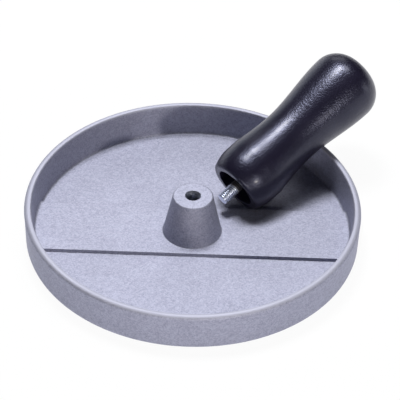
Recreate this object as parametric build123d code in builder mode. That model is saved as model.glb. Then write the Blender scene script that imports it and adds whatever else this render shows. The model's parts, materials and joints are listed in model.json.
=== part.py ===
"""Burger press: a round cast-aluminium press plate with a central tapped boss,
and its moulded screw-on handle, lying unscrewed in the plate with its foot on
the floor and its side on the rim. Millimetres, +Z up, origin at the centre of
the plate's underside."""
import math
import os

from build123d import *

os.makedirs("parts", exist_ok=True)

# Thread shared by the boss and the stud: M6
thread_radius = 3.0
thread_lead_in = 0.8
thread_play = 0.03
drill_point_angle = 118.0

# Press plate, a casting with a drawn-in wall
rim_radius = 80.0
rim_height = 20.0
wall_thickness = 3.2
outer_draw_in = 1.0
inner_draw_in = 1.6
floor_thickness = 3.4
underside_round = 2.6
rim_top_flat = 0.12

# Raised band across the plate, under the boss
band_width = 34.5
band_step = 1.8
band_edge_round = 0.4
band_edge_clear = 0.2

# Conical boss
boss_height = 21.4
boss_top_radius = 9.5
boss_base_radius = 14.0
boss_top_round = 0.8
boss_foot_round = 0.4

# Grip, turned about its own axis: distances from its mouth
grip_length = 87.2
foot_radius = 16.2
foot_widest_at = 9.5
foot_curve = 20.0
foot_straight = 4.5
lip_round = 1.8
neck_at = 19.5
neck_radius = 15.65
waist_at = 38.1
waist_radius = 14.1
bulb_to_end = 13.1
bulb_radius = 17.5
crown_radius = 28.9

# Socket in the grip's foot, which takes the boss's top
socket_radius = 10.35
socket_depth = 6.4
socket_draw_in = 0.2
socket_corner_round = 0.8

# Steel stud: its thread stands out of the socket, its knurled shank and head lie in the grip
stud_reach = 15.1
stud_knurl_radius = 3.5
stud_embedded = 19.0
stud_head_flats = 10.0
stud_head_height = 4.0
hole_spare = 1.0

# How the loose handle lies in the plate
handle_heading = 43.4
seat_gap = 0.25
band_gap = 0.25
boss_gap = 2.0
steepest_lean = 60.0
halvings = 40
samples_per_edge = 60

# Heights and radii that follow from the sizes above
band_top = floor_thickness + band_step
wall_foot_round = band_step - band_edge_round - band_edge_clear
boss_top = band_top + boss_height
bulb_at = grip_length - bulb_to_end
hole_depth = stud_reach + hole_spare
inner_top_radius = rim_radius - wall_thickness
inner_foot_radius = inner_top_radius - inner_draw_in
rim_round = (wall_thickness - rim_top_flat) / 2
rim_crown_radius = rim_radius - wall_thickness / 2
rim_crown_height = rim_height - rim_round
foot_rise = math.asin(foot_widest_at / foot_curve)
foot_face_radius = foot_radius - foot_curve * (1 - math.cos(foot_rise))
stud_radius = thread_radius - thread_play
stud_protrusion = stud_reach - socket_depth


# Press plate
with BuildPart() as press_plate:
    with BuildSketch(Plane.XZ) as dish_section:
        with BuildLine():
            Polyline(
                (0, 0),
                (rim_radius - outer_draw_in, 0),
                (rim_radius, rim_height),
                (inner_top_radius, rim_height),
                (inner_foot_radius, floor_thickness),
                (0, floor_thickness),
                close=True,
            )
        make_face()
        corners = dish_section.vertices()
        fillet(corners.group_by(Axis.Y)[-1], radius=rim_round)
        outer_corners = dish_section.vertices().group_by(Axis.Y)[0]
        fillet(outer_corners.sort_by(Axis.X)[-1], radius=underside_round)
        floor_corners = dish_section.vertices().filter_by_position(
            Axis.Y, floor_thickness - seat_gap, floor_thickness + seat_gap
        )
        wall_foot = floor_corners.filter_by_position(Axis.X, rim_radius / 2, inner_top_radius)
        fillet(wall_foot, radius=wall_foot_round)
    revolve(axis=Axis.Z)

    # The band's ends run into the wall
    with BuildSketch(Plane.XY.offset(floor_thickness)):
        Circle(rim_radius - wall_thickness / 2)
        Rectangle(2 * rim_radius, band_width, mode=Mode.INTERSECT)
    extrude(amount=band_step)
    band_edges = press_plate.edges().filter_by(Axis.X).group_by(Axis.Z)[-1]
    fillet(band_edges, radius=band_edge_round)

    # Boss, rounded where it meets the band and round its top
    with BuildSketch(Plane.XZ) as boss_section:
        with BuildLine():
            Polyline(
                (0, floor_thickness),
                (boss_base_radius, floor_thickness),
                (boss_base_radius, band_top),
                (boss_top_radius, boss_top),
                (0, boss_top),
                close=True,
            )
        make_face()
        boss_edge = boss_section.vertices().group_by(Axis.Y)[-1].sort_by(Axis.X)[-1]
        fillet(boss_edge, radius=boss_top_round)
    revolve(axis=Axis.Z)
    rings = press_plate.edges().filter_by(GeomType.CIRCLE)
    boss_foot = rings.filter_by(
        lambda ring: abs(ring.radius - boss_base_radius) < seat_gap
        and abs(ring.center().Z - band_top) < seat_gap
    )
    fillet(boss_foot, radius=boss_foot_round)

    # Blind tapped hole with a countersunk mouth and the drill's point
    drill_point = thread_radius / math.tan(math.radians(drill_point_angle / 2))
    with BuildSketch(Plane.XZ):
        with BuildLine():
            Polyline(
                (0, boss_top),
                (thread_radius + thread_lead_in, boss_top),
                (thread_radius, boss_top - thread_lead_in),
                (thread_radius, boss_top - hole_depth),
                (0, boss_top - hole_depth - drill_point),
                close=True,
            )
        make_face()
    revolve(axis=Axis.Z, mode=Mode.SUBTRACT)

press_plate.part.label = "press_plate"


# Half of the grip's section, in its own plane: X out from the axis, Y along it from the mouth
crown_behind = crown_radius - bulb_to_end
shoulder_round = (crown_radius**2 - crown_behind**2 - bulb_radius**2) / (
    2 * (crown_radius - bulb_radius)
)
shoulder_turn = math.degrees(math.atan2(crown_behind, bulb_radius - shoulder_round))
with BuildSketch() as grip_half:
    with BuildLine():
        foot_turn = math.degrees(foot_rise)
        CenterArc((foot_radius - foot_curve, foot_widest_at), foot_curve, -foot_turn, foot_turn)
        straight_end = (foot_radius, foot_widest_at + foot_straight)
        Line((foot_radius, foot_widest_at), straight_end)
        Spline(
            straight_end,
            (neck_radius, neck_at),
            (waist_radius, waist_at),
            (bulb_radius, bulb_at),
            tangents=((0, 1), (0, 1)),
        )
        shoulder = JernArc((bulb_radius, bulb_at), (0, 1), shoulder_round, shoulder_turn)
        TangentArc(shoulder @ 1, (0, grip_length), tangent=shoulder % 1)
        Line((0, grip_length), (0, 0))
        Line((0, 0), (foot_face_radius, 0))
    make_face()
    face_edge = grip_half.vertices().group_by(Axis.Y)[0].sort_by(Axis.X)[-1]
    fillet(face_edge, radius=lip_round)

side_edges = (
    grip_half.edges()
    .filter_by_position(Axis.X, seat_gap, foot_curve)
    .filter_by_position(Axis.Y, seat_gap, grip_length)
)
side_points = [
    edge @ (step / samples_per_edge) for edge in side_edges for step in range(samples_per_edge + 1)
]


def mouth_height(lean):
    """Height of the mouth's centre that leaves seat_gap under the leaning foot."""
    reach_down = max(p.X * math.cos(lean) - p.Y * math.sin(lean) for p in side_points)
    return floor_thickness + seat_gap + reach_down


def mouth_distance(lean):
    """Distance from the plate's axis to the mouth's centre. Where the foot comes lower than
    the band's top it stands clear of the band's edge, and the stud's tip stands clear of
    the boss."""
    heading = math.radians(handle_heading)
    over_band = mouth_height(lean) - band_top
    distances = [boss_base_radius + boss_gap + stud_protrusion * math.cos(lean)]
    for p in side_points:
        over_point = over_band + p.Y * math.sin(lean)
        drop = p.X * math.cos(lean)
        if over_point < drop:
            share = over_point / drop
            sideways = p.X * math.sqrt(1 - share**2) * math.cos(heading)
            reach = (band_width / 2 + band_gap + sideways) / math.sin(heading)
            distances.append(reach - p.Y * math.cos(lean) - p.X * share * math.sin(lean))
    return max(distances)


def rim_gap(lean):
    """Gap between the grip's underside and the rim's round top."""
    out = rim_crown_radius - mouth_distance(lean)
    up = rim_crown_height - mouth_height(lean)
    along = out * math.cos(lean) + up * math.sin(lean)
    below = out * math.sin(lean) - up * math.cos(lean)
    beside = min(side_points, key=lambda p: abs(p.Y - along))
    return below - beside.X - rim_round


# The handle leans just as far as brings its side to the rim
low, high = 0.0, math.radians(steepest_lean)
for _ in range(halvings):
    lean = (low + high) / 2
    if rim_gap(lean) < seat_gap:
        low = lean
    else:
        high = lean
lean = high

heading = math.radians(handle_heading)
outward = Vector(math.cos(heading), math.sin(heading), 0)
grip_direction = outward * math.cos(lean) + Vector(0, 0, 1) * math.sin(lean)
grip_top_side = Vector(0, 0, 1) * math.cos(lean) - outward * math.sin(lean)
mouth = outward * mouth_distance(lean) + Vector(0, 0, 1) * mouth_height(lean)
grip_axis = Axis(mouth, grip_direction)
section_plane = Plane(
    origin=mouth, x_dir=grip_top_side, z_dir=grip_top_side.cross(grip_direction)
)
socket_floor = Plane(
    origin=mouth + grip_direction * socket_depth, x_dir=grip_top_side, z_dir=grip_direction
)
head_seat = socket_floor.offset(stud_embedded)


# Stud: bevelled thread, then the knurled shank and the hexagon head that the grip holds
with BuildPart() as handle_stud:
    with BuildSketch(socket_floor.offset(-stud_reach)):
        Circle(stud_radius)
    extrude(amount=stud_reach)
    tip_edge = handle_stud.edges().filter_by(GeomType.CIRCLE).sort_by(grip_axis)[0]
    chamfer(tip_edge, length=thread_lead_in)
    with BuildSketch(socket_floor):
        Circle(stud_knurl_radius)
    extrude(amount=stud_embedded)
    with BuildSketch(head_seat):
        RegularPolygon(radius=stud_head_flats / 2, side_count=6, major_radius=False)
    extrude(amount=stud_head_height)

handle_stud.part.label = "handle_stud"


# Grip: turned outside, socket in the foot, moulded round the stud
with BuildPart() as handle_grip:
    with BuildSketch(section_plane):
        add(grip_half.sketch)
    revolve(axis=grip_axis)
    with BuildSketch(section_plane) as socket_section:
        with BuildLine():
            Polyline(
                (0, 0),
                (socket_radius, 0),
                (socket_radius - socket_draw_in, socket_depth),
                (0, socket_depth),
                close=True,
            )
        make_face()
        socket_corner = socket_section.vertices().group_by(Axis.Y)[-1].sort_by(Axis.X)[-1]
        fillet(socket_corner, radius=socket_corner_round)
    revolve(axis=grip_axis, mode=Mode.SUBTRACT)
    add(handle_stud.part, mode=Mode.SUBTRACT)

handle_grip.part.label = "handle_grip"


export_step(press_plate.part, "parts/press_plate.step")
export_step(handle_stud.part, "parts/handle_stud.step")
export_step(handle_grip.part, "parts/handle_grip.step")

print("lean", math.degrees(lean), "mouth", tuple(mouth), "direction", tuple(grip_direction))
for piece in (press_plate, handle_stud, handle_grip):
    box = piece.part.bounding_box()
    print(piece.part.label, round(piece.part.volume), piece.part.is_valid, box.min, box.max)
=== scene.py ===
"""Burger press with its screw-on handle lying in the plate: meshes, finishes, light and camera
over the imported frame. The press's sizes are in millimetres, and MM turns them into the frame's
metres. The table and the lamps are in metres."""
import json
import math

import bmesh
import bpy
import numpy as np
from mathutils import Matrix, Vector


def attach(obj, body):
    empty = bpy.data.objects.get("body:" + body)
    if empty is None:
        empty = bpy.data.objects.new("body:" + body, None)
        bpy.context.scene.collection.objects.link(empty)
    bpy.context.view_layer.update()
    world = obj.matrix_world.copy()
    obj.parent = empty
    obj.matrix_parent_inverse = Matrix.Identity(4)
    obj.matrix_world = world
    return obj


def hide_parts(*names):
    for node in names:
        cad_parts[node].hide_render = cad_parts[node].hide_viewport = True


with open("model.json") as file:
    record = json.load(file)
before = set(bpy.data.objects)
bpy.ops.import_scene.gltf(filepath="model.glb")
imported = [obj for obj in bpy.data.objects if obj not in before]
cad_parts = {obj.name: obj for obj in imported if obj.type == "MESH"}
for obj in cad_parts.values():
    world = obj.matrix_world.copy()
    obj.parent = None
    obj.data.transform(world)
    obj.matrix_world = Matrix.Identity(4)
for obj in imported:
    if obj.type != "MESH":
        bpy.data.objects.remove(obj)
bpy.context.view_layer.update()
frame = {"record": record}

MM = 0.001

# Press plate, as in the frame, but with the rim's own small and large rounds
RIM_RADIUS = 80.0
RIM_HEIGHT = 20.0
WALL = 3.2
OUTER_DRAW_IN = 1.0
INNER_DRAW_IN = 1.6
FLOOR = 3.4
UNDERSIDE_ROUND = 2.6
WALL_FOOT_ROUND = 1.2
RIM_OUTER_ROUND = 2.1
RIM_INNER_ROUND = 0.55
RIM_INNER_DROP = 0.08
OUTSIDE_STARTS_BELOW_RIM = 2.45

# Raised band across the plate
BAND_WIDTH = 34.5
BAND_STEP = 1.8
BAND_EDGE_ROUND = 0.4
BAND_FOOT_ROUND = 0.2
BAND_FACE_DRAFT = 0.12

# Boss, the faint casting line across its top and its tapped hole
BOSS_HEIGHT = 21.4
BOSS_TOP_RADIUS = 9.5
BOSS_BASE_RADIUS = 14.0
BOSS_TOP_ROUND = 0.8
BOSS_FOOT_ROUND = 0.4
CASTING_LINE_DEPTH = 0.09
CASTING_LINE_WIDTH = 0.34
HOLE_DEPTH = 16.1
HOLE_THREADED = 11.5
HOLE_EDGE = 0.04
DRILL_POINT = 1.8

# Threads of the hole and of the stud; the flats are shares of the pitch
THREAD_RADIUS = 3.0
THREAD_PITCH = 1.0
THREAD_LEAD_IN = 0.8
HOLE_THREAD_DEPTH = 0.55
STUD_THREAD_DEPTH = 0.36
THREAD_CREST_FLAT = 0.1
THREAD_FLANK = 0.78

# Grip, by distance along its axis from the mouth
GRIP_LENGTH = 87.2
FOOT_RADIUS = 16.2
FOOT_WIDEST_AT = 9.5
FOOT_CURVE = 20.0
FOOT_STRAIGHT = 4.5
LIP_ROUND = 1.8
NECK = (15.65, 19.5)
WAIST = (14.1, 38.1)
BULB_TO_END = 13.1
BULB_RADIUS = 17.5
CROWN_RADIUS = 28.9
SOCKET_RADIUS = 10.35
SOCKET_DEPTH = 6.4
SOCKET_DRAW_IN = 0.2
SOCKET_CORNER_ROUND = 0.8
SOCKET_EDGE_ROUND = 0.3
STUD_POCKET_DEPTH = 3.0

# Stud
STUD_REACH = 15.1
STUD_PLAY = 0.03
STUD_BEVEL = 0.4
STUD_TIP_RING = 0.3
STUD_THREAD_STOP = 0.2
STUD_KNURL_RADIUS = 3.5
STUD_KNURL_PLAY = 0.01
STUD_EMBEDDED = 19.0
STUD_HEAD_FLATS = 10.0
STUD_HEAD_HEIGHT = 4.0
STUD_HEAD_CHAMFER = 0.15
STUD_HEAD_END_SHARE = 0.985

# Heights and radii that follow
BAND_TOP = FLOOR + BAND_STEP
BOSS_TOP = BAND_TOP + BOSS_HEIGHT
INNER_TOP_RADIUS = RIM_RADIUS - WALL
INNER_FOOT_RADIUS = INNER_TOP_RADIUS - INNER_DRAW_IN
FLOOR_RADIUS = INNER_FOOT_RADIUS - WALL_FOOT_ROUND
BOSS_FOOT_RADIUS = BOSS_BASE_RADIUS + BOSS_FOOT_ROUND
STUD_PROTRUSION = STUD_REACH - SOCKET_DEPTH

# Where the rim is worn and lighter with a painted highlight, below its top, and where the stud's
# painted shade fades in, by the mouth
RIM_WEAR_AND_HIGHLIGHT_FROM = 0.9
RIM_WEAR_AND_HIGHLIGHT_TO = 0.2
RIM_WEAR_AND_HIGHLIGHT_RAGGED = 0.2
RIM_WEAR_AND_HIGHLIGHT_OUTSIDE = (0.6 * RIM_RADIUS, 0.7 * RIM_RADIUS)
PAINTED_SHADE_FROM = 0.8
PAINTED_SHADE_BEFORE = 0.1
PAINTED_SHADE_AFTER = 0.9
PAINTED_SHADE_RAGGED = 0.6

# Fineness of the meshes: angles in degrees, distances in millimetres
HUG = 0.05
HUG_SHARE = 0.4
WALL_HUG_SHARE = 0.004
WALL_LINE_EVERY = 1.25
BOSS_LINE_EVERY = 5
BOSS_LINES_NEAR_X = [0.6, 1.2, 2, 3, 4.5, 7]
LINES_APART = 0.12
LINES_OFF_SIDE = 0.2
FLOOR_COLUMNS = 25
GRIP_COLUMNS = 192
STUD_COLUMNS = 72
HOLE_ROWS_PER_PITCH = 10
STUD_ROWS_PER_PITCH = 12
TOUCHING = 1e-6

# Welding, in metres
MERGED_WITHIN = 2e-7
NO_SHORTER_THAN = 1e-7

# Camera: angles in degrees, focus and picture in pixels, the rest in millimetres
CAMERA_TURN = 0.73
CAMERA_HEIGHT = 39.92
CAMERA_ROLL = 1.55
CAMERA_DISTANCE = 1932.0
CAMERA_TARGET = (3.35, 28.64, 0)
CAMERA_FOCUS = 4000.0
PICTURE_WIDTH = 400
SENSOR_WIDTH = 36.0

# Table, in metres, and how white it and the sky look straight on and in reflections
TABLE_HALF = 6.0
TABLE_DROP = 0.0003
TABLE_SEEN, TABLE_REFLECTED = 0.95, 0.9
SKY_SEEN, SKY_REFLECTED = 1.0, 0.03


def arc(centre, radius, start, end, steps):
    """Points of a circle's arc: the centre plus the radius times the cosine and sine of a turn
    that runs from start to end degrees."""
    turn = np.radians(np.linspace(start, end, steps + 1))
    return np.stack([centre[0] + radius * np.cos(turn), centre[1] + radius * np.sin(turn)], 1)


def straight(start, end, steps):
    """Evenly spaced points from start to end, and one more beside each end, HUG in from it, which
    keeps a flat shaded flat right up to the round beside it."""
    start, end = np.array(start, float), np.array(end, float)
    edge = min(HUG / np.linalg.norm(end - start), HUG_SHARE)
    share = np.unique(np.concatenate([np.linspace(0, 1, steps + 1), [edge, 1 - edge]]))
    return start + (end - start) * share[:, None]


def spline(points, steps):
    """Smooth curve through the points, upright at both ends: cubics over the chord lengths whose
    slopes m solve m0/h + 2 m1 (1/h + 1/k) + m2/k = 3 (dp/h^2 + dq/k^2) at each inner point."""
    points = np.array(points, float)
    chord = np.linalg.norm(np.diff(points, axis=0), axis=1)
    count = len(points)
    system, target = np.eye(count), np.zeros((count, 2))
    target[0] = target[-1] = (0, 1)
    for i in range(1, count - 1):
        h, k = chord[i - 1], chord[i]
        system[i, i - 1 : i + 2] = 1 / h, 2 / h + 2 / k, 1 / k
        target[i] = 3 * ((points[i] - points[i - 1]) / h**2 + (points[i + 1] - points[i]) / k**2)
    slope = np.linalg.solve(system, target)
    t = np.linspace(0, 1, steps + 1)[:, None]
    curve = []
    for i, h in enumerate(chord):
        rise = (3 - 2 * t) * t**2
        lead = h * t * (1 - t) ** 2 * slope[i] - h * t**2 * (1 - t) * slope[i + 1]
        curve.append(points[i] + (points[i + 1] - points[i]) * rise + lead)
    return np.vstack(curve)


def turned(outline, angles, centre, x, y, axis):
    """Surface of revolution: centre + along * axis + radius * (cos a * x + sin a * y), where the
    outline's rows give radius and distance along, each a number or one value per angle."""
    radius = np.stack([np.broadcast_to(row[0], angles.shape) for row in outline])[..., None]
    along = np.stack([np.broadcast_to(row[1], angles.shape) for row in outline])[..., None]
    round_it = np.cos(angles)[:, None] * np.array(x) + np.sin(angles)[:, None] * np.array(y)
    return np.array(centre) + along * np.array(axis) + radius * round_it


def grid_faces(rows, columns, closed):
    """Quads of a rows by columns grid of points numbered row by row; closed joins its last column
    to its first."""
    row = np.arange(rows - 1)[:, None] * columns
    left = np.arange(columns if closed else columns - 1)[None, :]
    right = (left + 1) % columns
    return np.stack([row + left, row + right, row + columns + right, row + columns + left], -1)


def piece(name, body, node, grids, finishes):
    """One closed, smooth mesh out of grids, each its points in millimetres, whether it closes on
    itself, and its finish's number. Points that coincide are merged, so that grids meet and poles
    close, and faces turn outwards."""
    points, faces, finish, first = [], [], [], 0
    for grid, closed, number in grids:
        quads = grid_faces(grid.shape[0], grid.shape[1], closed).reshape(-1, 4)
        points.append(grid.reshape(-1, 3) * MM)
        faces.append(quads + first)
        finish.append(np.full(len(quads), number))
        first += grid.shape[0] * grid.shape[1]
    mesh = bpy.data.meshes.new(name)
    mesh.from_pydata(np.vstack(points).tolist(), [], np.vstack(faces).tolist())
    mesh.polygons.foreach_set("material_index", np.concatenate(finish))
    shape = bmesh.new()
    shape.from_mesh(mesh)
    bmesh.ops.remove_doubles(shape, verts=shape.verts, dist=MERGED_WITHIN)
    bmesh.ops.dissolve_degenerate(shape, edges=shape.edges, dist=NO_SHORTER_THAN)
    bmesh.ops.recalc_face_normals(shape, faces=shape.faces)
    shape.to_mesh(mesh)
    shape.free()
    mesh.shade_smooth()
    for material in finishes:
        mesh.materials.append(material)
    made = bpy.data.objects.new(name, mesh)
    bpy.context.scene.collection.objects.link(made)
    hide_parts(node)
    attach(made, body)


# Press plate: its parts are turned about Z

PLATE_AXES = ((0, 0, 0), (1, 0, 0), (0, 1, 0), (0, 0, 1))


def band_side():
    """Half of the band's cross-section from its middle outwards, as distance and height over the
    low floor: flat top, rounded edge, face leaning out by its draft, round at its foot."""
    half = BAND_WIDTH / 2
    edge_at = half - BAND_EDGE_ROUND
    foot_at = half + BAND_FACE_DRAFT + BAND_FOOT_ROUND
    return np.vstack([
        [(edge_at - HUG, BAND_STEP)],
        arc((edge_at, BAND_STEP - BAND_EDGE_ROUND), BAND_EDGE_ROUND, 90, 4, steps=7),
        arc((foot_at, BAND_FOOT_ROUND), BAND_FOOT_ROUND, 176, 270, steps=5),
        [(foot_at + HUG, 0)],
    ])


def floor_lines():
    """Lines that run along X over the whole floor, as distance from the middle and height: the
    sines of steady angles, times the radius of the wall's foot and of the boss's foot, and the
    points of the band's side, all mirrored. A line that comes too close to these is left out."""
    side = band_side()
    wall_angles = np.arange(0, 90.1, WALL_LINE_EVERY)
    boss_angles = np.append(np.arange(10, 91, BOSS_LINE_EVERY), BOSS_LINES_NEAR_X)
    wall_cuts = FLOOR_RADIUS * np.sin(np.radians(wall_angles))
    boss_cuts = BOSS_FOOT_RADIUS * np.sin(np.radians(boss_angles))
    lines = np.unique(np.concatenate([wall_cuts[1:], boss_cuts]))
    apart = np.abs(lines[:, None] - np.append(boss_cuts, FLOOR_RADIUS)[None, :]).min(1)
    off_side = (lines < side[0, 0] - LINES_OFF_SIDE) | (lines > side[-1, 0] + LINES_OFF_SIDE)
    lines = lines[(apart == 0) | ((apart > LINES_APART) & off_side)]
    heights = np.where(lines < BAND_WIDTH / 2, BAND_STEP, 0)
    half = np.vstack([np.stack([lines, heights], 1), side])
    half = half[np.argsort(half[:, 0], kind="stable")]
    mirrored = half[::-1] * (-1, 1)
    return np.vstack([mirrored, [(0, BAND_STEP)], half])


def all_round(lines, radius):
    """Angles at which the floor's lines cut a circle of this radius, all the way round, which are
    the arcsines of distance over radius, with the floor's height at each."""
    lines = lines[np.abs(lines[:, 0]) <= radius + TOUCHING]
    right = np.arcsin(np.clip(lines[:, 0] / radius, -1, 1))
    angles = np.concatenate([right, np.pi - right[::-1][1:-1]])
    return angles, np.concatenate([lines[:, 1], lines[::-1][1:-1, 1]])


def plate_floor(lines, side):
    """One side of the floor: on each line x runs from the boss's foot, the root of its radius
    squared less y squared, to the wall's foot, worked out the same way; side is 1 or -1."""
    y, height = lines[:, :1], lines[:, 1:]
    inner = np.sqrt(np.clip(BOSS_FOOT_RADIUS**2 - y**2, 0, None))
    outer = np.sqrt(np.clip(FLOOR_RADIUS**2 - y**2, 0, None))
    share = np.linspace(0, 1, FLOOR_COLUMNS)[None, :]
    x = side * (inner + (outer - inner) * share)
    return np.stack([x, np.broadcast_to(y, x.shape), np.broadcast_to(FLOOR + height, x.shape)], -1)


def plate_wall(lines):
    """Wall, rim and underside turned about Z. Its foot starts at the floor's own height at each
    angle: a quarter round, the drawn-in wall, the rim with a small inner and a large outer round,
    the outside and the underside."""
    angles, height = all_round(lines, FLOOR_RADIUS)
    lean_in = INNER_DRAW_IN / (RIM_HEIGHT - FLOOR)
    wall_at = INNER_FOOT_RADIUS + (height + WALL_FOOT_ROUND) * lean_in
    outline = []
    for turn in np.radians(np.linspace(0, 90, 9)):
        out = FLOOR_RADIUS + (wall_at - FLOOR_RADIUS) * np.sin(turn)
        outline.append((out, FLOOR + height + WALL_FOOT_ROUND * (1 - np.cos(turn))))
    inner_top = RIM_HEIGHT - RIM_INNER_DROP
    rim_start = inner_top - RIM_INNER_ROUND
    for share in np.linspace(WALL_HUG_SHARE, 1 - WALL_HUG_SHARE, 12):
        up = (1 - share) * (FLOOR + height + WALL_FOOT_ROUND) + share * rim_start
        outline.append((INNER_FOOT_RADIUS + (up - FLOOR) * lean_in, up))
    inner_edge = (INNER_TOP_RADIUS + RIM_INNER_ROUND, rim_start)
    outer_edge = (RIM_RADIUS - RIM_OUTER_ROUND, RIM_HEIGHT - RIM_OUTER_ROUND)
    crown = (outer_edge[0], RIM_HEIGHT)
    outline += list(arc(inner_edge, RIM_INNER_ROUND, 174, 92, steps=9))
    outline += list(straight((inner_edge[0], inner_top), crown, steps=3))[1:-1]
    outline += list(arc(outer_edge, RIM_OUTER_ROUND, 90, 3, steps=18))
    lean_out = OUTER_DRAW_IN / RIM_HEIGHT
    foot = RIM_RADIUS - OUTER_DRAW_IN
    below_rim = OUTSIDE_STARTS_BELOW_RIM
    outside_top = (RIM_RADIUS - below_rim * lean_out, RIM_HEIGHT - below_rim)
    outside_foot = (foot + UNDERSIDE_ROUND * lean_out, UNDERSIDE_ROUND)
    underside_edge = (foot - UNDERSIDE_ROUND, UNDERSIDE_ROUND)
    outline += list(straight(outside_top, outside_foot, steps=8))
    outline += list(arc(underside_edge, UNDERSIDE_ROUND, 0, -90, steps=12))[1:]
    outline += list(straight((underside_edge[0], 0), (0, 0), steps=10))[1:]
    return turned(outline, angles, *PLATE_AXES)


def thread(angles, along, crest, depth, toward_axis):
    """Radius of a right-hand thread: a saw-tooth of the distance along less the turn, in pitches,
    with flattened crests and roots, cut inwards from the crest or raised towards the axis."""
    phase = (along / THREAD_PITCH - angles / (2 * np.pi)) % 1
    tooth = np.clip((np.abs(phase - 0.5) * 2 - THREAD_CREST_FLAT) / THREAD_FLANK, 0, 1)
    return crest - depth * (1 - tooth if toward_axis else tooth)


def casting_line(y):
    """Depth of the line along X across the boss's top: its full depth times e to the minus square
    of y over half its width."""
    return CASTING_LINE_DEPTH * np.exp(-((y / (CASTING_LINE_WIDTH / 2)) ** 2))


def boss_surface(lines):
    """The boss turned about Z: foot round, cone and top round, with the casting line sunk into
    its flat top."""
    angles, _ = all_round(lines, BOSS_FOOT_RADIUS)
    lean_in = (BOSS_BASE_RADIUS - BOSS_TOP_RADIUS) / BOSS_HEIGHT
    cone = BOSS_BASE_RADIUS - BOSS_FOOT_ROUND * lean_in
    outline = []
    for turn in np.radians(np.linspace(0, 90, 8)):
        out = BOSS_FOOT_RADIUS + (cone - BOSS_FOOT_RADIUS) * np.sin(turn)
        outline.append((out, BAND_TOP + BOSS_FOOT_ROUND * (1 - np.cos(turn))))
    shoulder = (BOSS_TOP_RADIUS + BOSS_TOP_ROUND * lean_in, BOSS_TOP - BOSS_TOP_ROUND)
    top_round = (shoulder[0] - BOSS_TOP_ROUND, shoulder[1])
    outline += list(straight(outline[-1], shoulder, steps=14))[1:]
    outline += list(arc(top_round, BOSS_TOP_ROUND, 0, 90, steps=7))[1:]
    flat = (outline[-1][0], BOSS_TOP)
    outline += list(straight(flat, (THREAD_RADIUS + THREAD_LEAD_IN, BOSS_TOP), steps=10))[1:]
    surface = turned(outline, angles, *PLATE_AXES)
    on_top = surface[..., 2] > BOSS_TOP - TOUCHING
    surface[..., 2] -= np.where(on_top, casting_line(surface[..., 1]), 0)
    return surface


def boss_hole(lines):
    """The tapped hole turned about Z: countersink, right-hand thread that starts in it and fades
    out, plain bore and the drill's point. Its first row follows the casting line."""
    angles, _ = all_round(lines, BOSS_FOOT_RADIUS)
    mouth = THREAD_RADIUS + THREAD_LEAD_IN
    start = BOSS_TOP - THREAD_LEAD_IN
    bottom = BOSS_TOP - HOLE_DEPTH
    outline = [(mouth, BOSS_TOP), (mouth - HOLE_EDGE, BOSS_TOP - HOLE_EDGE)]
    for down in np.arange(0, HOLE_THREADED, THREAD_PITCH / HOLE_ROWS_PER_PITCH):
        fade_in = min(1, down / (THREAD_PITCH / 2))
        fade_out = min(1, (HOLE_THREADED - down) / THREAD_PITCH)
        depth = HOLE_THREAD_DEPTH * (fade_in * fade_out)
        outline.append((thread(angles, start - down, THREAD_RADIUS, depth, True), start - down))
    bore_top = (THREAD_RADIUS, start - HOLE_THREADED)
    bore_end = (THREAD_RADIUS, bottom)
    outline += list(straight(bore_top, bore_end, steps=4))
    outline += list(straight(bore_end, (0, bottom - DRILL_POINT), steps=3))[1:]
    surface = turned(outline, angles, *PLATE_AXES)
    surface[0, :, 2] -= casting_line(surface[0, :, 1])
    return surface


# Handle: the stud's mount points out of its tip, and lies halfway along the free thread

stud_mount = next(m for m in frame["record"]["mounts"] if m["name"] == "stud_thread")
ALONG = -np.array(stud_mount["axis"])
ALONG /= np.linalg.norm(ALONG)
TIP_TO_MOUTH = STUD_PROTRUSION - THREAD_LEAD_IN
MOUTH = np.array(stud_mount["pos_m"]) / MM + ALONG * (TIP_TO_MOUTH - SOCKET_DEPTH) / 2
LEVEL = np.cross((0, 0, 1), ALONG)
LEVEL /= np.linalg.norm(LEVEL)
UPWARD = np.cross(ALONG, LEVEL)
HANDLE_AXES = (MOUTH, LEVEL, UPWARD, ALONG)


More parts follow.
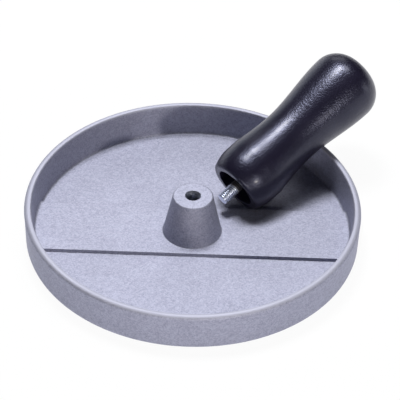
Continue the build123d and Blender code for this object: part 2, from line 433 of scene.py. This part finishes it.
def grip_surface():
    """The grip turned about its axis, from its pocket for the stud out over the socket, the lip,
    the foot's wide arc, the neck and waist, the bulb's shoulder and the crown to its far pole. The
    lip's round touches the mouth's plane and the foot's arc: its centre lies one round from each."""
    pocket = SOCKET_DEPTH + STUD_POCKET_DEPTH
    inner = SOCKET_RADIUS - SOCKET_DRAW_IN
    corner = (inner - SOCKET_CORNER_ROUND, SOCKET_DEPTH - SOCKET_CORNER_ROUND)
    edge = (SOCKET_RADIUS + SOCKET_EDGE_ROUND, SOCKET_EDGE_ROUND)
    foot = (FOOT_RADIUS - FOOT_CURVE, FOOT_WIDEST_AT)
    below = FOOT_WIDEST_AT - LIP_ROUND
    lip_out = math.sqrt((FOOT_CURVE - LIP_ROUND) ** 2 - below**2)
    lip = (foot[0] + lip_out, LIP_ROUND)
    lip_turn = -math.degrees(math.atan2(below, lip_out))
    straight_end = FOOT_WIDEST_AT + FOOT_STRAIGHT
    bulb_at = GRIP_LENGTH - BULB_TO_END
    behind = CROWN_RADIUS - BULB_TO_END
    shoulder = (CROWN_RADIUS**2 - behind**2 - BULB_RADIUS**2) / (2 * (CROWN_RADIUS - BULB_RADIUS))
    turn = math.degrees(math.atan2(behind, BULB_RADIUS - shoulder))
    outline = np.vstack([
        [(0, pocket)],
        straight((STUD_KNURL_RADIUS, pocket), (STUD_KNURL_RADIUS, SOCKET_DEPTH), steps=2),
        straight((STUD_KNURL_RADIUS, SOCKET_DEPTH), (corner[0], SOCKET_DEPTH), steps=6),
        arc(corner, SOCKET_CORNER_ROUND, 90, 0, steps=7),
        straight((inner, corner[1]), (SOCKET_RADIUS, SOCKET_EDGE_ROUND), steps=6),
        arc(edge, SOCKET_EDGE_ROUND, 180, 270, steps=5),
        straight((edge[0], 0), (lip[0], 0), steps=3),
        arc(lip, LIP_ROUND, -90, lip_turn, steps=12),
        arc(foot, FOOT_CURVE, lip_turn, 0, steps=16)[1:],
        straight((FOOT_RADIUS, FOOT_WIDEST_AT), (FOOT_RADIUS, straight_end), steps=4),
        spline([(FOOT_RADIUS, straight_end), NECK, WAIST, (BULB_RADIUS, bulb_at)], steps=26),
        arc((BULB_RADIUS - shoulder, bulb_at), shoulder, 0, turn, steps=30),
        arc((0, GRIP_LENGTH - CROWN_RADIUS), CROWN_RADIUS, turn, 90, steps=16),
    ])
    outline[-1, 0] = 0
    angles = np.linspace(0, 2 * np.pi, GRIP_COLUMNS, endpoint=False)
    return turned(outline, angles, *HANDLE_AXES)


def stud_surface():
    """The stud turned about its axis from the middle of its tip: bevel, right-hand thread, knurled
    shank and a hexagon head, whose radius is half its flats over the cosine of the angle off a
    flat."""
    angles = np.linspace(0, 2 * np.pi, STUD_COLUMNS, endpoint=False)
    crest = THREAD_RADIUS - STUD_PLAY
    tip, floor = -STUD_PROTRUSION, SOCKET_DEPTH
    tip_radius = crest - STUD_BEVEL
    outline = [(0, tip), (tip_radius - STUD_TIP_RING, tip), (tip_radius, tip)]
    for along in np.arange(tip + HUG, floor - STUD_THREAD_STOP, THREAD_PITCH / STUD_ROWS_PER_PITCH):
        bevel = tip_radius + (along - tip)
        depth = STUD_THREAD_DEPTH * min(1, (floor - along) / THREAD_PITCH)
        outline.append((np.minimum(thread(angles, along, crest, depth, False), bevel), along))
    shank = STUD_KNURL_RADIUS - STUD_KNURL_PLAY
    seat = floor + STUD_EMBEDDED
    head_end = seat + STUD_HEAD_HEIGHT
    off_flat = (angles + np.pi / 6) % (np.pi / 3) - np.pi / 6
    hexagon = STUD_HEAD_FLATS / 2 / np.cos(off_flat)
    end_hexagon = hexagon * STUD_HEAD_END_SHARE
    outline += [(crest, floor), (shank, floor), (shank, floor + HUG), (shank, seat)]
    outline += [(end_hexagon, seat), (hexagon, seat + STUD_HEAD_CHAMFER)]
    outline += [(hexagon, head_end - STUD_HEAD_CHAMFER), (end_hexagon, head_end), (0, head_end)]
    return turned(outline, angles, *HANDLE_AXES)


# Finishes

def feed(tree, node, inputs):
    """Links or sets a node's inputs, given by name or number."""
    for key, value in inputs.items():
        if isinstance(value, bpy.types.NodeSocket):
            tree.links.new(value, node.inputs[key])
        else:
            node.inputs[key].default_value = value


def put(tree, kind, inputs=(), **settings):
    """Adds a shader node with its settings and its inputs."""
    node = tree.nodes.new(kind)
    for key, value in settings.items():
        setattr(node, key, value)
    feed(tree, node, dict(inputs))
    return node


def group(name, inputs, outputs):
    """A new shader node group with its named inputs and outputs, and its two end nodes."""
    tree = bpy.data.node_groups.new(name, "ShaderNodeTree")
    for label, kind, value in inputs:
        socket = tree.interface.new_socket(label, in_out="INPUT", socket_type=kind)
        if value is not None:
            socket.default_value = value
    for label, kind in outputs:
        tree.interface.new_socket(label, in_out="OUTPUT", socket_type=kind)
    return tree, tree.nodes.new("NodeGroupInput").outputs, tree.nodes.new("NodeGroupOutput").inputs


def ramp(tree, value, low, high):
    """Maps a value from low..high to 0..1, and stops at both ends."""
    settings = {"Value": value, "From Min": low, "From Max": high}
    return put(tree, "ShaderNodeMapRange", settings).outputs[0]


def spread(tree, value, low, high):
    """Maps a value from 0..1 to low..high, and stops at both ends."""
    settings = {"Value": value, "To Min": low, "To Max": high}
    return put(tree, "ShaderNodeMapRange", settings).outputs[0]


def math_node(tree, operation, first, second):
    """One arithmetic step on two values."""
    return put(tree, "ShaderNodeMath", {0: first, 1: second}, operation=operation).outputs[0]


def mix(tree, share, first, second):
    """Blends two colours by a share from 0 to 1. The node takes colours at its inputs 6 and 7,
    and gives one at its output 2."""
    made = put(tree, "ShaderNodeMix", {"Factor": share}, data_type="RGBA")
    for number, colour in ((6, first), (7, second)):
        if isinstance(colour, bpy.types.NodeSocket):
            tree.links.new(colour, made.inputs[number])
        else:
            made.inputs[number].default_value = (*colour, 1)
    return made.outputs[2]


def make_fine_grain():
    """Grain of a cast, moulded or plated surface: fine noise and pits give its height, cells of
    chance brightness its glints, and slow noise its clouds."""
    tree, given, out = group(
        "fine_grain",
        [("Vector", "NodeSocketVector", None), ("Grains per metre", "NodeSocketFloat", 1500.0)],
        [("Height", "NodeSocketFloat"), ("Glint", "NodeSocketFloat"), ("Cloud", "NodeSocketFloat")],
    )
    place, density = given["Vector"], given["Grains per metre"]
    noise = put(tree, "ShaderNodeTexNoise", {
        "Vector": place, "Scale": density, "Detail": 3.0, "Roughness": 0.65})
    cells = put(tree, "ShaderNodeTexVoronoi", {"Vector": place, "Scale": density}, feature="F1")
    coarse_scale = math_node(tree, "MULTIPLY", density, 0.28)
    coarse = put(tree, "ShaderNodeTexNoise", {
        "Vector": place, "Scale": coarse_scale, "Detail": 2.0, "Roughness": 0.6})
    pits = ramp(tree, cells.outputs["Distance"], 0.05, 0.6)
    height = math_node(tree, "ADD", math_node(tree, "MULTIPLY", pits, 0.45), noise.outputs["Fac"])
    tree.links.new(math_node(tree, "ADD", height, coarse.outputs["Fac"]), out["Height"])
    glint = put(tree, "ShaderNodeSeparateColor", {"Color": cells.outputs["Color"]})
    tree.links.new(glint.outputs[0], out["Glint"])
    cloud_scale = math_node(tree, "MULTIPLY", density, 0.045)
    cloud = put(tree, "ShaderNodeTexNoise", {
        "Vector": place, "Scale": cloud_scale, "Detail": 4.0, "Roughness": 0.55})
    tree.links.new(ramp(tree, cloud.outputs["Fac"], 0.3, 0.7), out["Cloud"])
    return tree


def make_handling_marks():
    """Marks of use: noise stretched along Z for rubbed streaks, and broad noise for smears."""
    tree, given, out = group(
        "handling_marks",
        [("Vector", "NodeSocketVector", None), ("Marks per metre", "NodeSocketFloat", 60.0)],
        [("Streaks", "NodeSocketFloat"), ("Smears", "NodeSocketFloat")],
    )
    place, density = given["Vector"], given["Marks per metre"]
    stretched = put(tree, "ShaderNodeMapping", {"Vector": place, "Scale": (1, 1, 0.09)})
    streak_scale = math_node(tree, "MULTIPLY", density, 9.0)
    streaks = put(tree, "ShaderNodeTexNoise", {
        "Vector": stretched.outputs[0], "Scale": streak_scale, "Detail": 5.0, "Roughness": 0.7})
    tree.links.new(ramp(tree, streaks.outputs["Fac"], 0.42, 0.72), out["Streaks"])
    smears = put(tree, "ShaderNodeTexNoise", {
        "Vector": place, "Scale": density, "Detail": 3.0, "Distortion": 0.6})
    tree.links.new(ramp(tree, smears.outputs["Fac"], 0.35, 0.68), out["Smears"])
    return tree


def finish(name):
    """A new material with its tree, its Principled shader and the object's own coordinates."""
    material = bpy.data.materials.new(name)
    material.use_nodes = True
    tree = material.node_tree
    shader = next(n for n in tree.nodes if n.type == "BSDF_PRINCIPLED")
    place = put(tree, "ShaderNodeTexCoord").outputs["Object"]
    return material, tree, shader, place


def use(tree, made_group, vector, per_metre):
    """Places a node group with its vector and its fineness, and gives its outputs."""
    node = put(tree, "ShaderNodeGroup", node_tree=made_group)
    tree.links.new(vector, node.inputs[0])
    node.inputs[1].default_value = per_metre
    return node.outputs


def relief(tree, height, strength, depth):
    """Normal of a surface that the height raises by up to depth, in metres."""
    settings = {"Height": height, "Strength": strength, "Distance": depth}
    return put(tree, "ShaderNodeBump", settings).outputs[0]


def rim_wear_and_highlight_share(tree, place, rough):
    """Share of wear and painted highlight on the rim's round, by height and broken up by the grain.
    It is 0 near the axis, so that the boss, which is higher, has none."""
    height = put(tree, "ShaderNodeSeparateXYZ", {"Vector": place}).outputs[2]
    ragged = math_node(tree, "ADD", height, math_node(tree, "MULTIPLY", rough, RIM_WEAR_AND_HIGHLIGHT_RAGGED * MM))
    above = ramp(tree, ragged, (RIM_HEIGHT - RIM_WEAR_AND_HIGHLIGHT_FROM) * MM, (RIM_HEIGHT - RIM_WEAR_AND_HIGHLIGHT_TO) * MM)
    out = put(tree, "ShaderNodeVectorMath", {0: place}, operation="LENGTH").outputs["Value"]
    outside = ramp(tree, out, RIM_WEAR_AND_HIGHLIGHT_OUTSIDE[0] * MM, RIM_WEAR_AND_HIGHLIGHT_OUTSIDE[1] * MM)
    return math_node(tree, "MULTIPLY", above, outside)


def cast_aluminium(grain, marks):
    """Matt grey casting skin: a cloudy base mixed half and half with pits and glints, a little
    rougher on the rim and lighter there, partly by wear and partly as a painted highlight, with
    smears that change its roughness."""
    dark_cloud, light_cloud = (0.317, 0.327, 0.424), (0.347, 0.357, 0.458)
    # The lighter rim colour is partly wear and partly a painted highlight on the rim's top
    pit, glint, wear_and_painted_highlight = (0.1, 0.102, 0.14), (0.72, 0.73, 0.86), (0.5, 0.508, 0.6)
    material, tree, shader, place = finish("cast_aluminium_skin")
    skin = use(tree, grain, place, 1500.0)
    smears = use(tree, marks, place, 28.0)["Smears"]
    raised = ramp(tree, skin["Height"], 0.75, 1.35)
    tone = math_node(tree, "MULTIPLY", math_node(tree, "ADD", raised, skin["Glint"]), 0.5)
    base = mix(tree, skin["Cloud"], dark_cloud, light_cloud)
    flecked = mix(tree, tone, mix(tree, 0.75, base, pit), mix(tree, 0.55, base, glint))
    speckled = mix(tree, 0.5, base, flecked)
    # Share of the rim's wear and painted highlight, which lightens its colour and roughens it a
    # little
    rim_wear_and_highlight = rim_wear_and_highlight_share(tree, place, skin["Height"])
    rubbed_rough = math_node(tree, "MULTIPLY", rim_wear_and_highlight, 0.1)
    feed(tree, shader, {
        "Base Color": mix(tree, rim_wear_and_highlight, speckled, wear_and_painted_highlight),
        "Roughness": math_node(tree, "ADD", spread(tree, smears, 0.66, 0.62), rubbed_rough),
        "Metallic": 0.9,
        "Normal": relief(tree, skin["Height"], 0.2, 0.00025),
    })
    return material


def cut_thread(grain):
    """Bright machined aluminium inside the tapped hole."""
    dark_cloud, light_cloud = (0.24, 0.26, 0.34), (0.36, 0.385, 0.48)
    material, tree, shader, place = finish("cut_aluminium_thread")
    skin = use(tree, grain, place, 3000.0)
    feed(tree, shader, {
        "Base Color": mix(tree, skin["Cloud"], dark_cloud, light_cloud),
        "Roughness": spread(tree, skin["Glint"], 0.28, 0.45),
        "Metallic": 1.0,
    })
    return material


def black_moulding(grain, marks):
    """Glossy black moulding with a slight orange peel, a thin uneven shine over it and handling
    streaks along the grip in its gloss."""
    dark_smear, light_smear = (0.0062, 0.005, 0.0135), (0.0098, 0.008, 0.0195)
    material, tree, shader, place = finish("black_moulded_grip")
    to_grip = Matrix((LEVEL, UPWARD, ALONG)).to_euler()
    along = put(tree, "ShaderNodeMapping", {"Vector": place, "Rotation": to_grip})
    worn = use(tree, marks, along.outputs[0], 40.0)
    skin = use(tree, grain, place, 1100.0)
    feed(tree, shader, {
        "Base Color": mix(tree, worn["Smears"], dark_smear, light_smear),
        "Roughness": spread(tree, worn["Streaks"], 0.31, 0.38),
        "IOR": 1.54,
        "Specular Tint": (0.66, 0.7, 1, 1),
        "Coat Weight": ramp(tree, worn["Smears"], -0.6, 3.6),
        "Coat Roughness": 0.2,
        "Normal": relief(tree, skin["Height"], 0.5, 0.0002),
    })
    return material


def plated_steel(grain, marks):
    """Bright plating on the stud, duller where it is smeared. From a set distance outside the mouth
    and on inwards the thread is painted black, dull and unmetallic: painted shade for the dark
    inside the grip's socket, whose share rises with the distance along the stud's axis, made ragged
    by the smears."""
    dark_cloud, light_cloud = (0.7, 0.75, 0.87), (0.82, 0.87, 0.97)
    # This black is painted shade, where the grip's socket shades the stud near its mouth
    black = (0.012, 0.011, 0.015)
    material, tree, shader, place = finish("bright_plated_stud")
    skin = use(tree, grain, place, 2600.0)
    worn = use(tree, marks, place, 220.0)
    bright = mix(tree, skin["Cloud"], dark_cloud, light_cloud)
    along = put(tree, "ShaderNodeVectorMath", {0: place, 1: tuple(ALONG)}, operation="DOT_PRODUCT")
    # Share of painted shade on the stud, rising towards the grip's mouth
    smeared = math_node(tree, "MULTIPLY", worn["Smears"], PAINTED_SHADE_RAGGED * MM)
    ragged = math_node(tree, "ADD", along.outputs["Value"], smeared)
    start = float(MOUTH @ ALONG) - PAINTED_SHADE_FROM
    painted_shade = ramp(tree, ragged, (start - PAINTED_SHADE_BEFORE) * MM, (start + PAINTED_SHADE_AFTER) * MM)
    dull = spread(tree, worn["Smears"], 0.3, 0.4)
    feed(tree, shader, {
        "Base Color": mix(tree, painted_shade, bright, black),
        "Roughness": math_node(tree, "ADD", dull, math_node(tree, "MULTIPLY", painted_shade, 0.3)),
        "Metallic": math_node(tree, "SUBTRACT", 1.0, painted_shade),
        "Normal": relief(tree, skin["Height"], 0.15, 0.00006),
    })
    return material


# Table, sky, lamps and camera

def seen_white(tree, straight_on, reflected):
    """The share and the colour of white on a background: plain white by the straight_on share for
    camera rays, and a slightly cooler white by the reflected share for glossy and transmission
    rays. Other rays see none of it, so it casts no light."""
    path = put(tree, "ShaderNodeLightPath").outputs
    bent = math_node(tree, "MAXIMUM", path["Is Glossy Ray"], path["Is Transmission Ray"])
    camera_share = math_node(tree, "MULTIPLY", path["Is Camera Ray"], straight_on)
    bent_share = math_node(tree, "MULTIPLY", bent, reflected)
    share = math_node(tree, "MAXIMUM", camera_share, bent_share)
    return share, mix(tree, path["Is Camera Ray"], (0.96, 0.96, 1), (1, 1, 1))


def table_top():
    """Pale table that keeps the press's shadow: white paint, lifted to white for the camera."""
    material = bpy.data.materials.new("pale_table")
    material.use_nodes = True
    tree = material.node_tree
    paint = next(n for n in tree.nodes if n.type == "BSDF_PRINCIPLED")
    feed(tree, paint, {"Base Color": (0.86, 0.87, 0.89, 1), "Roughness": 0.9})
    share, colour = seen_white(tree, TABLE_SEEN, TABLE_REFLECTED)
    white = put(tree, "ShaderNodeEmission", {"Color": colour, "Strength": 1.0})
    both = put(tree, "ShaderNodeMixShader", {0: share, 1: paint.outputs[0], 2: white.outputs[0]})
    output = next(n for n in tree.nodes if n.type == "OUTPUT_MATERIAL")
    tree.links.new(both.outputs[0], output.inputs["Surface"])
    return material


def table():
    """A flat square table just under the press."""
    half, down = TABLE_HALF, -TABLE_DROP
    corners = [(-half, -half, down), (half, -half, down), (half, half, down), (-half, half, down)]
    mesh = bpy.data.meshes.new("table")
    mesh.from_pydata(corners, [], [(0, 1, 2, 3)])
    mesh.materials.append(table_top())
    made = bpy.data.objects.new("table", mesh)
    bpy.context.scene.collection.objects.link(made)


def sky():
    """White sky behind the table for the camera, which reflections show only faintly and which
    casts no light."""
    world = bpy.data.worlds.new("sky")
    bpy.context.scene.world = world
    world.use_nodes = True
    tree = world.node_tree
    background = next(n for n in tree.nodes if n.type == "BACKGROUND")
    share, colour = seen_white(tree, SKY_SEEN, SKY_REFLECTED)
    feed(tree, background, {"Color": colour, "Strength": share})


def lamp(name, at, size, watts, colour=(1, 1, 1)):
    """A soft rectangular lamp, placed and sized in metres, that faces the press's origin."""
    data = bpy.data.lights.new(name, "AREA")
    data.shape = "RECTANGLE"
    data.size, data.size_y = size
    data.energy = watts
    data.color = colour
    made = bpy.data.objects.new(name, data)
    made.location = at
    made.rotation_euler = (Vector() - Vector(at)).to_track_quat("-Z", "Y").to_euler()
    bpy.context.scene.collection.objects.link(made)


def camera():
    """Long lens, aimed at a point beside the press's middle. Its turn about the press, its height
    above the horizon and its roll come from the rim's, the band's and the boss's outlines. The
    focal length is the sensor's width times the focus over the picture's width, in pixels."""
    turn = Matrix.Rotation(math.radians(CAMERA_TURN), 3, "Z")
    height, roll = math.radians(CAMERA_HEIGHT), math.radians(CAMERA_ROLL)
    target = turn @ Vector(CAMERA_TARGET)
    back = turn @ Vector((0, -math.cos(height), math.sin(height)))
    right = turn @ Vector((1, 0, 0))
    up = back.cross(right)
    rolled_right = right * math.cos(roll) + up * math.sin(roll)
    rolled_up = up * math.cos(roll) - right * math.sin(roll)
    data = bpy.data.cameras.new("camera")
    data.sensor_width = SENSOR_WIDTH
    data.lens = CAMERA_FOCUS * SENSOR_WIDTH / PICTURE_WIDTH
    data.clip_start, data.clip_end = 0.05, 50
    made = bpy.data.objects.new("camera", data)
    axes = Matrix((rolled_right, rolled_up, back)).transposed()
    place = (target + back * CAMERA_DISTANCE) * MM
    made.matrix_world = Matrix.Translation(place) @ axes.to_4x4()
    bpy.context.scene.collection.objects.link(made)
    bpy.context.scene.camera = made


def press():
    """The three pieces of the press, dressed. The hole has the plate's second finish."""
    grain, marks = make_fine_grain(), make_handling_marks()
    lines = floor_lines()
    piece("press_plate_casting", "plate", "press_plate", [
        (plate_floor(lines, 1), False, 0),
        (plate_floor(lines, -1), False, 0),
        (plate_wall(lines), True, 0),
        (boss_surface(lines), True, 0),
        (boss_hole(lines), True, 1),
    ], [cast_aluminium(grain, marks), cut_thread(grain)])
    piece("grip_moulding", "handle", "handle_grip",
          [(grip_surface(), True, 0)], [black_moulding(grain, marks)])
    piece("stud_threaded", "handle", "handle_stud",
          [(stud_surface(), True, 0)], [plated_steel(grain, marks)])


press()
table()
camera()
sky()
lamp("overhead", at=(-0.132, 0.259, 1.164), size=(0.28, 0.28), watts=12.7)
lamp("overhead_right", at=(0.205, 0.355, 1.128), size=(0.4, 0.4), watts=3.5)
lamp("back", at=(-0.036, 1.039, 0.6), size=(0.6, 0.4), watts=1.1)
lamp("back_left", at=(-0.692, 0.953, 0.229), size=(0.9, 0.4), watts=1.0, colour=(0.86, 0.92, 1))
lamp("right", at=(1.182, 0.0, 0.208), size=(0.4, 0.4), watts=1.0)
lamp("front", at=(-0.184, -1.163, 0.13), size=(0.7, 0.2), watts=3.5, colour=(1, 0.95, 0.9))
lamp("low_front_right", at=(0.999, -1.631, 0.585), size=(0.11, 0.11), watts=11.0,
     colour=(1, 0.95, 0.88))

bpy.context.scene.view_settings.view_transform = "Standard"
